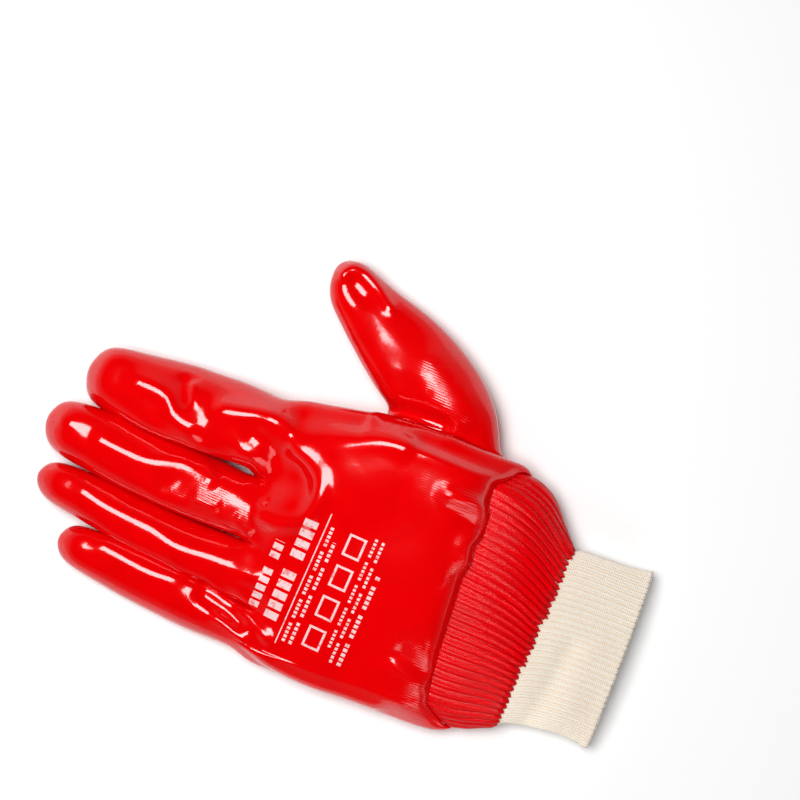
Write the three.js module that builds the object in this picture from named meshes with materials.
import * as THREE from "three";

// A PVC dipped work glove for the left hand, lying on its palm, with a ribbed knit wrist.
// X runs across the hand towards the thumb, Y towards the fingertips and Z up from the table.

// Driving dimensions, in millimetres.
const palmWidth = 125; // across the widest part of the hand
const palmLength = 110; // wrist seam to the crotches of the middle finger
const palmHeight = 44; // the hand is puffed out, as it leaves its former
const thumbLength = 88; // past the edge of the palm
const thumbHeight = 30;
const shellWall = 1.6; // PVC on a jersey liner
const coatWall = 1.6; // PVC on the ribs of the wrist
const knitWall = 2.0; // doubled rib knit
const bandLength = 25; // coated part of the knit wrist, at its sides
const cuffLength = 39; // bare part of the knit wrist
const cuffWidth = 82;
const cuffHeight = 25;
const cuffSkew = 4.5; // the open end is cut shorter on the thumb's side
const clearance = 0.35; // between the pieces
const ribCount = 66; // ribs round the wrist
const ribDepth = 0.6;
const seamSkew = 6.5; // the wrist seam lies further down on the little finger's side
const seamTop = 14.5; // and further up on the back of the hand
const seamBottom = 6.5;
const webSetback = 7; // from a crotch back to the skin over it
const fingerLean = 0.45; // the fingers lean on each other, sideways for each unit of height

// From the little finger to the index: length past its root, how far it fills the space between its edges
// there and how far it is off their middle, width further on, height, height over the table at the root and at
// the tip, and where the tip lies sideways.
const fingers = [
  { length: 89.5, rootFill: 0.9, rootShift: -0.8, width: 21.6, height: 19, lift: 0.2, tipLift: -0.4, drift: 3 },
  { length: 100, rootFill: 0.84, rootShift: 0, width: 21.4, height: 21, lift: 0.6, tipLift: -0.2, drift: 2.2 },
  { length: 96.5, rootFill: 0.92, rootShift: 0, width: 28.6, height: 24, lift: 3.2, tipLift: 0.6, drift: -0.4 },
  { length: 87, rootFill: 0.84, rootShift: 2.4, width: 33.6, height: 25.5, lift: 6.8, tipLift: 2.2, drift: -4 },
];

// The edges between the fingers: across as a share of the palm's width, reach as a share of its length.
const fingerEdges = [
  { across: -0.472, reach: 0.83 },
  { across: -0.314, reach: 0.88 },
  { across: -0.108, reach: 0.995 },
  { across: 0.114, reach: 1.05 },
  { across: 0.4, reach: 1.02 },
];

// Palm sections from the wrist seam, at 0, to the fingers' roots, at 1. The edges are shares of the palm's
// width, the heights shares of its height, on the little finger's side and then on the thumb's.
const palmSections = [
  { at: 0, left: -0.424, right: 0.514, lowLeft: 0.07, lowRight: 0.08, highLeft: 0.74, highRight: 0.83, dip: 0 },
  { at: 0.04, left: -0.442, right: 0.527, lowLeft: 0, lowRight: 0.03, highLeft: 0.82, highRight: 0.94, dip: 0 },
  { at: 0.12, left: -0.457, right: 0.524, lowLeft: -0.03, lowRight: 0.11, highLeft: 0.86, highRight: 1, dip: 0 },
  { at: 0.23, left: -0.463, right: 0.522, lowLeft: -0.03, lowRight: 0.25, highLeft: 0.86, highRight: 1.03, dip: 0 },
  { at: 0.35, left: -0.469, right: 0.521, lowLeft: -0.03, lowRight: 0.32, highLeft: 0.84, highRight: 1.03, dip: 0 },
  { at: 0.47, left: -0.477, right: 0.518, lowLeft: -0.03, lowRight: 0.34, highLeft: 0.8, highRight: 1.02, dip: 0 },
  { at: 0.58, left: -0.485, right: 0.511, lowLeft: -0.03, lowRight: 0.32, highLeft: 0.75, highRight: 0.99, dip: 0 },
  { at: 0.68, left: -0.488, right: 0.496, lowLeft: -0.03, lowRight: 0.29, highLeft: 0.7, highRight: 0.96, dip: 0.05 },
  { at: 0.77, left: -0.488, right: 0.477, lowLeft: -0.03, lowRight: 0.25, highLeft: 0.65, highRight: 0.92, dip: 0.2 },
  { at: 0.86, left: -0.49, right: 0.459, lowLeft: -0.03, lowRight: 0.21, highLeft: 0.59, highRight: 0.88, dip: 0.45 },
  { at: 0.93, left: -0.492, right: 0.445, lowLeft: -0.02, lowRight: 0.18, highLeft: 0.54, highRight: 0.83, dip: 0.7 },
  { at: 1, left: -0.492, right: 0.433, lowLeft: 0, lowRight: 0.16, highLeft: 0.48, highRight: 0.77, dip: 1 },
];

// Finger sections from the root, at 0, to the tip: shares of the finger's width and height.
const fingerSections = [
  { at: 0.05, wide: 1, tall: 1.03 },
  { at: 0.14, wide: 1, tall: 1 },
  { at: 0.26, wide: 1, tall: 0.99 },
  { at: 0.38, wide: 1, tall: 0.98 },
  { at: 0.5, wide: 1, tall: 0.97 },
  { at: 0.62, wide: 0.99, tall: 0.96 },
  { at: 0.73, wide: 0.95, tall: 0.95 },
  { at: 0.83, wide: 0.89, tall: 0.92 },
  { at: 0.91, wide: 0.79, tall: 0.84 },
  { at: 0.965, wide: 0.6, tall: 0.66 },
];

// Thumb sections from the palm's edge to the tip, as shares of the thumb's length from its root: the point on
// the fingers' side, the point on the cuff's side, and the heights as shares of the thumb's height.
const thumbSections = [
  { sideX: 0.02, sideY: 0.32, cuffX: 0.07, cuffY: -0.26, low: 0.04, high: 0.8 },
  { sideX: 0.07, sideY: 0.4, cuffX: 0.2, cuffY: -0.19, low: -0.02, high: 0.87 },
  { sideX: 0.14, sideY: 0.5, cuffX: 0.335, cuffY: -0.05, low: -0.04, high: 0.88 },
  { sideX: 0.215, sideY: 0.6, cuffX: 0.44, cuffY: 0.12, low: -0.04, high: 0.87 },
  { sideX: 0.28, sideY: 0.68, cuffX: 0.52, cuffY: 0.32, low: -0.04, high: 0.84 },
  { sideX: 0.34, sideY: 0.75, cuffX: 0.565, cuffY: 0.51, low: -0.03, high: 0.78 },
  { sideX: 0.405, sideY: 0.815, cuffX: 0.6, cuffY: 0.63, low: 0, high: 0.7 },
  { sideX: 0.485, sideY: 0.845, cuffX: 0.625, cuffY: 0.725, low: 0.05, high: 0.6 },
];
const thumbRoot = { across: 0.504, reach: 0.414 }; // where the thumb's shares are measured from
const thumbTip = { across: 0.59, reach: 0.83, high: 0.32 };

// Dents and folds in the skin that faces up: the line from one end to the other and its breadth are shares of
// the palm's width and length, and the rise is a share of the palm's height.
const folds = [
  { name: "scoop behind the index", x0: 0.14, y0: 1.02, x1: 0.19, y1: 0.88, breadth: 0.095, rise: -0.13 },
  { name: "rim of the scoop by the index", x0: 0.32, y0: 1.08, x1: 0.29, y1: 0.93, breadth: 0.07, rise: 0.04 },
  { name: "rim of the scoop by the wrist", x0: 0.25, y0: 0.82, x1: 0.1, y1: 0.76, breadth: 0.08, rise: 0.05 },
  { name: "rim of the scoop by the middle", x0: 0.01, y0: 0.85, x1: -0.01, y1: 1.0, breadth: 0.06, rise: 0.04 },
  { name: "fold across the index", x0: 0.17, y0: 1.37, x1: 0.36, y1: 1.46, breadth: 0.045, rise: -0.07 },
  { name: "fold across the middle", x0: -0.08, y0: 1.2, x1: 0.06, y1: 1.25, breadth: 0.05, rise: -0.05 },
  { name: "valley behind the little", x0: -0.31, y0: 0.9, x1: -0.42, y1: 0.7, breadth: 0.07, rise: -0.08 },
  { name: "hollow of the back", x0: -0.1, y0: 0.62, x1: 0.12, y1: 0.46, breadth: 0.16, rise: -0.05 },
  { name: "crease by the seam", x0: -0.22, y0: 0.28, x1: -0.29, y1: 0.08, breadth: 0.05, rise: -0.05 },
  { name: "roll along the seam", x0: 0.08, y0: 0.17, x1: 0.31, y1: 0.17, breadth: 0.07, rise: 0.045 },
  { name: "roll towards the thumb", x0: 0.31, y0: 0.19, x1: 0.34, y1: 0.36, breadth: 0.07, rise: 0.035 },
];

const foldedHeight = 0.35; // of the palm's height, over which a fold dies out towards the table
const fanStart = 0.35; // share of the palm's length past which its columns fan out to the fingers
const webDipAbove = 0.3; // how far the back sinks between two fingers, of the palm's half height
const webDipBelow = 0.2; // and how far the palm rises there
const webSpread = 0.8; // how evenly a web's points lie down its height, where 0 bunches them in the middle
const widthRun = 0.4; // share of a finger's length in which it reaches its own width
const leanRun = 0.25; // share of a finger's length in which it comes to lean fully
const tipHeight = 0.4; // of the point of a finger, as a share of the finger's height
const tipFall = 0.75; // how soon the dome of a tip falls off towards its edge

// Sections of the knit wrist: at runs from the seam, at 0, to the coat's edge, at 1, and the open end, at 2.
// A section is the hand's mouth at shape 0 and flat at shape 1, where its shift towards the thumb and its half
// width are shares of the cuff's width and its heights shares of the cuff's height.
const wristSections = [
  { at: -0.2, shape: -0.02, swell: -0.6, shift: -0.01, half: 0.51, low: 0, high: 1.04 },
  { at: 0.02, shape: 0, swell: 0, shift: -0.01, half: 0.51, low: 0, high: 1.04 },
  { at: 0.24, shape: 0.08, swell: 1, shift: 0.03, half: 0.51, low: 0, high: 1.04 },
  { at: 0.52, shape: 0.32, swell: 1.3, shift: 0.02, half: 0.51, low: 0, high: 1.04 },
  { at: 0.79, shape: 0.72, swell: 0.8, shift: 0, half: 0.51, low: 0, high: 1.04 },
  { at: 1, shape: 1, swell: 0, shift: -0.01, half: 0.508, low: 0, high: 1.02 },
  { at: 1.1, shape: 1, swell: 0, shift: 0.01, half: 0.502, low: 0, high: 1 },
  { at: 1.4, shape: 1, swell: 0, shift: 0.036, half: 0.49, low: 0, high: 0.92 },
  { at: 1.72, shape: 1, swell: 0, shift: 0.054, half: 0.488, low: 0, high: 0.82 },
  { at: 2, shape: 1, swell: 0, shift: 0.062, half: 0.5, low: 0, high: 0.74 },
];

const topFaceCount = 4; // across the top of one finger
const sideFaceCount = 4; // down one side
const ringSize = 2 * (topFaceCount + sideFaceCount);
const topSize = topFaceCount * fingers.length;
const palmRing = 2 * (topSize + sideFaceCount);
const cornerAngle = THREE.MathUtils.degToRad(30);
const fullness = 2.4; // of the palm's section, where 2 is an ellipse
const fingerFullness = 2.15;
const ringStart = Math.PI * 0.75; // a finger's ring starts at its upper corner on the little finger's side
const thumbRows = [2, 7]; // the palm sections between which the thumb leaves
const thumbColumns = [topSize + sideFaceCount - 1, topSize + sideFaceCount + 2];
const pointCount = ribCount * 2; // round the knit, one on each rib and one in each groove

const mix = (a, b, t) => a + (b - a) * t;
const smooth = (t) => t * t * (3 - 2 * t);
const clamp01 = (t) => Math.min(1, Math.max(0, t));

// A point on a superellipse of half sizes 1, at an angle.
function roundPoint(angle, power) {
  const bend = (v) => Math.sign(v) * Math.abs(v) ** (2 / power);
  return [bend(Math.cos(angle)), bend(Math.sin(angle))];
}

// Reads a table whose rows have an at column, in between its rows.
function read(table, at, column) {
  const after = table.findIndex((row) => row.at >= at);
  if (after <= 0) return table[after === 0 ? 0 : table.length - 1][column];
  const a = table[after - 1];
  const b = table[after];
  return mix(a[column], b[column], (at - a.at) / (b.at - a.at));
}

class Skin {
  constructor() {
    this.points = [];
    this.quads = [];
  }
  add(x, y, z) {
    return this.points.push(new THREE.Vector3(x, y, z)) - 1;
  }
  // Faces between two loops of points, the second further along the piece.
  join(loop, next) {
    for (let i = 0; i < loop.length; i++) {
      const k = (i + 1) % loop.length;
      this.quads.push([loop[i], loop[k], next[k], next[i]]);
    }
  }
  // A loop halfway between two loops, which keeps the wall even where they lie far apart.
  between(loop, next) {
    return loop.map((index, i) => {
      const point = this.points[index].clone().lerp(this.points[next[i]], 0.5);
      return this.add(point.x, point.y, point.z);
    });
  }
  // Closes a loop of ringSize points with a domed grid that bulges to the tip.
  cap(loop, tip) {
    const centre = new THREE.Vector3();
    loop.forEach((i) => centre.add(this.points[i]));
    centre.divideScalar(loop.length);
    const grid = [];
    for (let v = 0; v <= sideFaceCount; v++) {
      grid.push([]);
      for (let u = 0; u <= topFaceCount; u++) {
        let index;
        if (v === 0) index = loop[u];
        else if (u === topFaceCount) index = loop[topFaceCount + v];
        else if (v === sideFaceCount) index = loop[2 * topFaceCount + sideFaceCount - u];
        else if (u === 0) index = loop[(ringSize - v) % ringSize];
        else {
          const across = (u / topFaceCount) * 2 - 1;
          const down = (v / sideFaceCount) * 2 - 1;
          const top = this.points[loop[u]];
          const bottom = this.points[loop[2 * topFaceCount + sideFaceCount - u]];
          const left = this.points[loop[(ringSize - v) % ringSize]];
          const right = this.points[loop[topFaceCount + v]];
          const byRows = top.clone().lerp(bottom, v / sideFaceCount);
          const byColumns = left.clone().lerp(right, u / topFaceCount);
          const point = byRows.lerp(byColumns, 0.5);
          const bulge = 1 - Math.min(1, (across * across + down * down) * tipFall);
          point.add(tip.clone().sub(centre).multiplyScalar(bulge));
          index = this.add(point.x, point.y, point.z);
        }
        grid[v].push(index);
      }
    }
    for (let v = 0; v < sideFaceCount; v++)
      for (let u = 0; u < topFaceCount; u++)
        this.quads.push([grid[v + 1][u], grid[v][u], grid[v][u + 1], grid[v + 1][u + 1]]);
  }
  // Faces from a base loop through a finger's loops to its tip.
  grow(base, loops, tip) {
    let below = this.between(base, loops[0]);
    this.join(base, below);
    for (const loop of loops) {
      this.join(below, loop);
      below = loop;
    }
    this.cap(below, tip);
  }
  normals() {
    const sums = this.points.map(() => new THREE.Vector3());
    const side = new THREE.Vector3();
    const other = new THREE.Vector3();
    for (const [a, b, c, d] of this.quads) {
      side.subVectors(this.points[c], this.points[a]);
      other.subVectors(this.points[d], this.points[b]);
      side.cross(other);
      for (const i of [a, b, c, d]) sums[i].add(side);
    }
    return sums.map((n) => n.normalize());
  }
}

// The share across the palm of each column of its ring, at the wrist and at the fingers' roots.
function columnShares() {
  const shares = [];
  const [corner] = roundPoint(cornerAngle, fullness);
  const rootLeft = read(palmSections, 1, "left");
  const rootRight = read(palmSections, 1, "right");
  const arc = (i) => {
    const angle = mix(Math.PI - cornerAngle, cornerAngle, i / topSize);
    const wrist = (1 + roundPoint(angle, fullness)[0]) / 2;
    const finger = Math.min(fingers.length - 1, Math.floor(i / topFaceCount));
    const within = i / topFaceCount - finger;
    const across = mix(fingerEdges[finger].across, fingerEdges[finger + 1].across, within);
    const edge = (1 - corner) / 2;
    const root = Math.min(1 - edge, Math.max(edge, (across - rootLeft) / (rootRight - rootLeft)));
    return { wrist, root, dip: Math.cos((i / topFaceCount) * Math.PI) ** 2 };
  };
  const flank = (i, towardsThumb) => {
    const angle = mix(cornerAngle, -cornerAngle, i / sideFaceCount);
    const [out, up] = roundPoint(angle, fullness);
    const share = towardsThumb ? (1 + out) / 2 : (1 - out) / 2;
    return { wrist: share, root: share, side: towardsThumb ? up : -up, dip: 0, flank: true };
  };
  for (let i = 0; i < topSize; i++) shares.push({ ...arc(i), side: 1 });
  for (let i = 0; i < sideFaceCount; i++) shares.push(flank(i, true));
  for (let i = topSize; i > 0; i--) shares.push({ ...arc(i), side: -1 });
  for (let i = 0; i < sideFaceCount; i++) shares.push(flank(i, false));
  shares[0].dip = 0;
  shares[topSize + sideFaceCount].dip = 0;
  return shares;
}

// One palm section as a ring of points.
function palmRow(skin, at, columns) {
  const cell = (name, size) => read(palmSections, at, name) * size;
  const left = cell("left", palmWidth);
  const right = cell("right", palmWidth);
  const dip = read(palmSections, at, "dip");
  const blend = smooth(clamp01((at - fanStart) / (1 - fanStart)));
  return columns.map((column) => {
    const share = mix(column.wrist, column.root, blend);
    const x = mix(left, right, share);
    const low = mix(cell("lowLeft", palmHeight), cell("lowRight", palmHeight), share ** 3);
    const high = mix(cell("highLeft", palmHeight), cell("highRight", palmHeight), smooth(share));
    const rise = (1 - Math.abs(2 * share - 1) ** fullness) ** (1 / fullness);
    const up = column.flank ? column.side : column.side * rise;
    const sink = dip * column.dip * (column.side > 0 ? webDipAbove : webDipBelow);
    const v = column.flank ? up : up - column.side * sink;
    const z = mix(low, high, (1 + v) / 2);
    const lean = v > 0 ? v * seamTop : v * seamBottom;
    const seam = seamSkew * (2 * share - 1) + lean;
    const y = mix(seam, rootReach(share, left, right), at);
    return skin.add(x, y, z);
  });
}

// How far up the hand the fingers' root line lies, at a share of the palm's width.
function rootReach(share, left, right) {
  const across = mix(left, right, share) / palmWidth;
  const rows = fingerEdges.map((edge) => ({ at: edge.across, reach: edge.reach }));
  return read(rows, across, "reach") * palmLength - webSetback;
}

// A ring of ringSize points round a centre, with sideways and upward half sizes.
function ring(skin, centre, sideways, up, lean = 0) {
  const loop = [];
  for (let i = 0; i < ringSize; i++) {
    const angle = ringStart - (i / ringSize) * 2 * Math.PI;
    const [out, high] = roundPoint(angle, fingerFullness);
    const point = centre.clone().addScaledVector(sideways, out).addScaledVector(up, high);
    point.x -= high * up.z * lean;
    loop.push(skin.add(point.x, point.y, point.z));
  }
  return loop;
}

function buildFinger(skin, finger, number, base) {
  const inner = fingerEdges[number];
  const outer = fingerEdges[number + 1];
  const rootX = ((inner.across + outer.across) / 2) * palmWidth;
  const rootY = ((inner.reach + outer.reach) / 2) * palmLength;
  const tipY = rootY + finger.length;
  const rootWidth = finger.rootFill * (outer.across - inner.across) * palmWidth;
  const slope = (outer.reach - inner.reach) * palmLength;
  const loops = fingerSections.map((section) => {
    const halfHeight = (section.tall * finger.height) / 2;
    const low = mix(finger.lift, finger.tipLift, smooth(section.at));
    const centre = new THREE.Vector3(
      rootX + mix(finger.rootShift, finger.drift, smooth(section.at)),
      mix(rootY, tipY, section.at),
      low + halfHeight,
    );
    const width = mix(rootWidth, finger.width, smooth(clamp01(section.at / widthRun)));
    const sideways = new THREE.Vector3((section.wide * width) / 2, 0, 0);
    sideways.y = (slope / 2) * (1 - section.at) ** 3;
    const lean = fingerLean * smooth(clamp01(section.at / leanRun));
    return ring(skin, centre, sideways, new THREE.Vector3(0, 0, halfHeight), lean);
  });
  const tip = new THREE.Vector3(rootX + finger.drift, tipY, finger.tipLift + finger.height * tipHeight);
  skin.grow(base, loops, tip);
}

function buildThumb(skin, base) {
  const rootX = thumbRoot.across * palmWidth;
  const rootY = thumbRoot.reach * palmLength;
  const loops = thumbSections.map((row) => {
    const low = row.low * thumbHeight;
    const high = row.high * thumbHeight;
    const finger = new THREE.Vector3(rootX + row.sideX * thumbLength, rootY + row.sideY * thumbLength, 0);
    const cuff = new THREE.Vector3(rootX + row.cuffX * thumbLength, rootY + row.cuffY * thumbLength, 0);
    const centre = finger.clone().lerp(cuff, 0.5).setZ((low + high) / 2);
    const sideways = cuff.sub(finger).divideScalar(2);
    return ring(skin, centre, sideways, new THREE.Vector3(0, 0, (high - low) / 2));
  });
  const tip = new THREE.Vector3(
    rootX + thumbTip.across * thumbLength,
    rootY + thumbTip.reach * thumbLength,
    thumbTip.high * thumbHeight,
  );
  skin.grow(base, loops, tip);
}

// Presses the dents and raises the folds, fully at the top of the glove and less towards the table.
function pressFolds(skin) {
  skin.points.forEach((point) => {
    const height = smooth(clamp01(point.z / (foldedHeight * palmHeight)));
    for (const fold of folds) {
      const x0 = fold.x0 * palmWidth;
      const y0 = fold.y0 * palmLength;
      const dx = fold.x1 * palmWidth - x0;
      const dy = fold.y1 * palmLength - y0;
      const along = clamp01(((point.x - x0) * dx + (point.y - y0) * dy) / (dx * dx + dy * dy));
      const away = Math.hypot(point.x - x0 - dx * along, point.y - y0 - dy * along);
      const fade = Math.exp(-((away / (fold.breadth * palmWidth)) ** 2));
      point.z += fold.rise * palmHeight * fade * height;
    }
  });
}

// The outer skin of the hand, with the open loop of points at its wrist.
function handSkin() {
  const skin = new Skin();
  const columns = columnShares();
  const rows = palmSections.map((section) => palmRow(skin, section.at, columns));
  for (let r = 0; r + 1 < rows.length; r++) {
    for (let j = 0; j < palmRing; j++) {
      const inThumb =
        r >= thumbRows[0] && r < thumbRows[1] && j >= thumbColumns[0] && j < thumbColumns[1];
      const k = (j + 1) % palmRing;
      if (!inThumb) skin.quads.push([rows[r][j], rows[r][k], rows[r + 1][k], rows[r + 1][j]]);
    }
  }
  const roots = rows[rows.length - 1];
  const webs = fingerEdges.slice(1, -1).map((edge, w) => {
    const top = skin.points[roots[topFaceCount * (w + 1)]];
    const bottom = skin.points[roots[palmRing - sideFaceCount - topFaceCount * (w + 1)]];
    const column = [];
    for (let i = 1; i < sideFaceCount; i++) {
      const down = i / sideFaceCount;
      const depth = Math.sin(down * Math.PI);
      const y = mix(top.y, edge.reach * palmLength, depth);
      column.push(skin.add(mix(top.x, bottom.x, down), y, mix(top.z, bottom.z, mix(0.5, down, webSpread))));
    }
    return column;
  });
  fingers.forEach((finger, k) => {
    const topStart = topFaceCount * k;
    const bottomStart = topSize + sideFaceCount + topFaceCount * (fingers.length - 1 - k);
    const last = k === fingers.length - 1;
    const thumbSide = last ? roots.slice(topSize + 1, topSize + sideFaceCount) : webs[k];
    const littleSide = k === 0 ? roots.slice(palmRing - sideFaceCount + 1) : [...webs[k - 1]].reverse();
    const base = [
      ...roots.slice(topStart, topStart + topFaceCount + 1),
      ...thumbSide,
      ...roots.slice(bottomStart, bottomStart + topFaceCount + 1),
      ...littleSide,
    ];
    buildFinger(skin, finger, k, base);
  });
  const [rowLow, rowHigh] = thumbRows;
  const [columnStart, columnEnd] = thumbColumns;
  const hole = [];
  for (let r = rowHigh; r > rowLow; r--) hole.push(rows[r][columnStart]);
  for (let j = columnStart; j < columnEnd; j++) hole.push(rows[rowLow][j]);
  for (let r = rowLow; r < rowHigh; r++) hole.push(rows[r][columnEnd]);
  for (let j = columnEnd; j > columnStart; j--) hole.push(rows[rowHigh][j]);
  buildThumb(skin, hole);
  pressFolds(skin);
  skin.points.forEach((point) => (point.z = Math.max(0, point.z)));
  return { skin, mouth: rows[0] };
}

// A mesh of triangles and quads, each quad split along its shorter diagonal.
function geometryOf(points, faces) {
  const index = faces.flatMap(([a, b, c, d]) => {
    if (d === undefined) return [a, b, c];
    const shorter = points[a].distanceTo(points[c]) < points[b].distanceTo(points[d]);
    return shorter ? [a, b, c, a, c, d] : [a, b, d, b, c, d];
  });
  const geometry = new THREE.BufferGeometry().setFromPoints(points);
  geometry.setIndex(index);
  geometry.computeVertexNormals();
  return geometry;
}

// A skin thickened inwards, and closed by a rim round its mouth.
function hollow(skin, mouth, wall) {
  const count = skin.points.length;
  const normals = skin.normals();
  const inside = skin.points.map((point, i) => point.clone().addScaledVector(normals[i], -wall));
  const quads = [...skin.quads, ...skin.quads.map((quad) => quad.map((i) => i + count).reverse())];
  mouth.forEach((a, i) => {
    const b = mouth[(i + 1) % mouth.length];
    quads.push([b, a, a + count, b + count]);
  });
  return { geometry: geometryOf([...skin.points, ...inside], quads), mouthInside: mouth.map((i) => inside[i]) };
}

// A closed loop resampled to evenly spaced points, starting at its first point.
function resample(loop, count) {
  const lengths = [0];
  loop.forEach((point, i) => lengths.push(lengths[i] + point.distanceTo(loop[(i + 1) % loop.length])));
  const total = lengths[loop.length];
  return Array.from({ length: count }, (_, i) => {
    const target = (i / count) * total;
    const k = Math.min(loop.length - 1, lengths.findIndex((length) => length > target) - 1);
    const share = (target - lengths[k]) / (lengths[k + 1] - lengths[k]);
    return loop[k].clone().lerp(loop[(k + 1) % loop.length], share);
  });
}

// A loop moved outwards in its own X and Z by a distance, or inwards if it is negative.
function outset(loop, distance) {
  return loop.map((point, i) => {
    const before = loop[(i + loop.length - 1) % loop.length];
    const after = loop[(i + 1) % loop.length];
    const way = typeof distance === "number" ? distance : distance(i);
    const out = new THREE.Vector3(-(after.z - before.z), 0, after.x - before.x).normalize();
    return point.clone().addScaledVector(out, way);
  });
}

// A tube open at both ends, between outer loops and inner loops of half as many points.
function tube(outside, inside) {
  const outer = outside[0].length;
  const inner = outer / 2;
  const start = outside.length * outer;
  const last = outside.length - 1;
  const faces = [];
  for (let i = 0; i < outer; i++) {
    const k = (i + 1) % outer;
    for (let r = 0; r < last; r++) {
      const next = r + 1;
      faces.push([r * outer + k, r * outer + i, next * outer + i, next * outer + k]);
    }
  }
  for (let i = 0; i < inner; i++) {
    const k = (i + 1) % inner;
    for (let r = 0; r < last; r++) {
      const a = start + r * inner;
      const b = a + inner;
      faces.push([a + i, a + k, b + k, b + i]);
    }
    const end = start + last * inner;
    const far = last * outer;
    faces.push([2 * i + 1, 2 * k, start + k, start + i], [2 * i, 2 * i + 1, start + i]);
    faces.push([far + 2 * k, far + 2 * i + 1, end + i, end + k], [far + 2 * i + 1, far + 2 * i, end + i]);
  }
  return geometryOf([...outside, ...inside].flat(), faces);
}

const everyOther = (loop) => loop.filter((_, i) => i % 2 === 0);
const grooves = (loop) => outset(loop, (i) => (i % 2 ? -ribDepth : 0));

// The knit's outer loops from up inside the hand to the open end. The knit keeps off the table by the coat's
// thickness as far as the coat runs.
function knitLoops(mouthInside) {
  const coat = coatWall + clearance;
  const start = outset(resample(mouthInside, pointCount), -coat - clearance);
  return wristSections.map((row) => {
    const middle = ((row.low + row.high) / 2) * cuffHeight;
    const half = ((row.high - row.low) / 2) * cuffHeight;
    const outline = Array.from({ length: 2 * pointCount }, (_, i) => {
      const angle = Math.PI - cornerAngle - (i / pointCount) * Math.PI;
      const [out, up] = roundPoint(angle, fullness);
      return new THREE.Vector3((row.shift + row.half * out) * cuffWidth, 0, middle + half * up);
    });
    const flat = resample(outline, pointCount);
    const loop = start.map((point, i) => {
      const x = mix(point.x, flat[i].x, row.shape);
      const skew = (cuffSkew * x) / cuffWidth;
      const y =
        row.at < 1 ? mix(point.y, -bandLength, row.at) : -bandLength - (row.at - 1) * (cuffLength - skew);
      return new THREE.Vector3(x, y, mix(point.z, flat[i].z, row.shape));
    });
    const swollen = outset(loop, row.swell);
    const table = row.at > 1 ? 0 : coat;
    swollen.forEach((point) => (point.z = Math.max(table, point.z)));
    return swollen;
  });
}

function buildGlove() {
  const red = new THREE.MeshStandardMaterial({ color: 0xd80208, roughness: 0.16, metalness: 0 });
  const coated = new THREE.MeshStandardMaterial({ color: 0xc40410, roughness: 0.32, metalness: 0 });
  const cotton = new THREE.MeshStandardMaterial({ color: 0xe9dcc0, roughness: 0.95, metalness: 0 });
  const glove = new THREE.Group();

  const { skin, mouth } = handSkin();
  const { geometry, mouthInside } = hollow(skin, mouth, shellWall);
  const hand = new THREE.Mesh(geometry, red);
  hand.name = "hand_shell";

  const knit = knitLoops(mouthInside);
  const knitInside = knit.map((loop) => outset(everyOther(loop), -knitWall));
  const cuff = new THREE.Mesh(tube(knit.map(grooves), knitInside), cotton);
  cuff.name = "knit_cuff";

  const underCoat = knit.filter((_, i) => wristSections[i].at <= 1);
  const coatInside = underCoat.map((loop) => everyOther(outset(loop, clearance)));
  const coatOutside = underCoat.map((loop) => grooves(outset(loop, clearance + coatWall)));
  const band = new THREE.Mesh(tube(coatOutside, coatInside), coated);
  band.name = "coated_wrist_band";

  glove.add(hand, band, cuff);

  // The origin is on the table, under the middle of the glove.
  const box = new THREE.Box3().setFromObject(glove);
  const centre = box.getCenter(new THREE.Vector3());
  glove.children.forEach((mesh) => mesh.position.set(-centre.x, -centre.y, -box.min.z));
  return glove;
}

export default buildGlove();
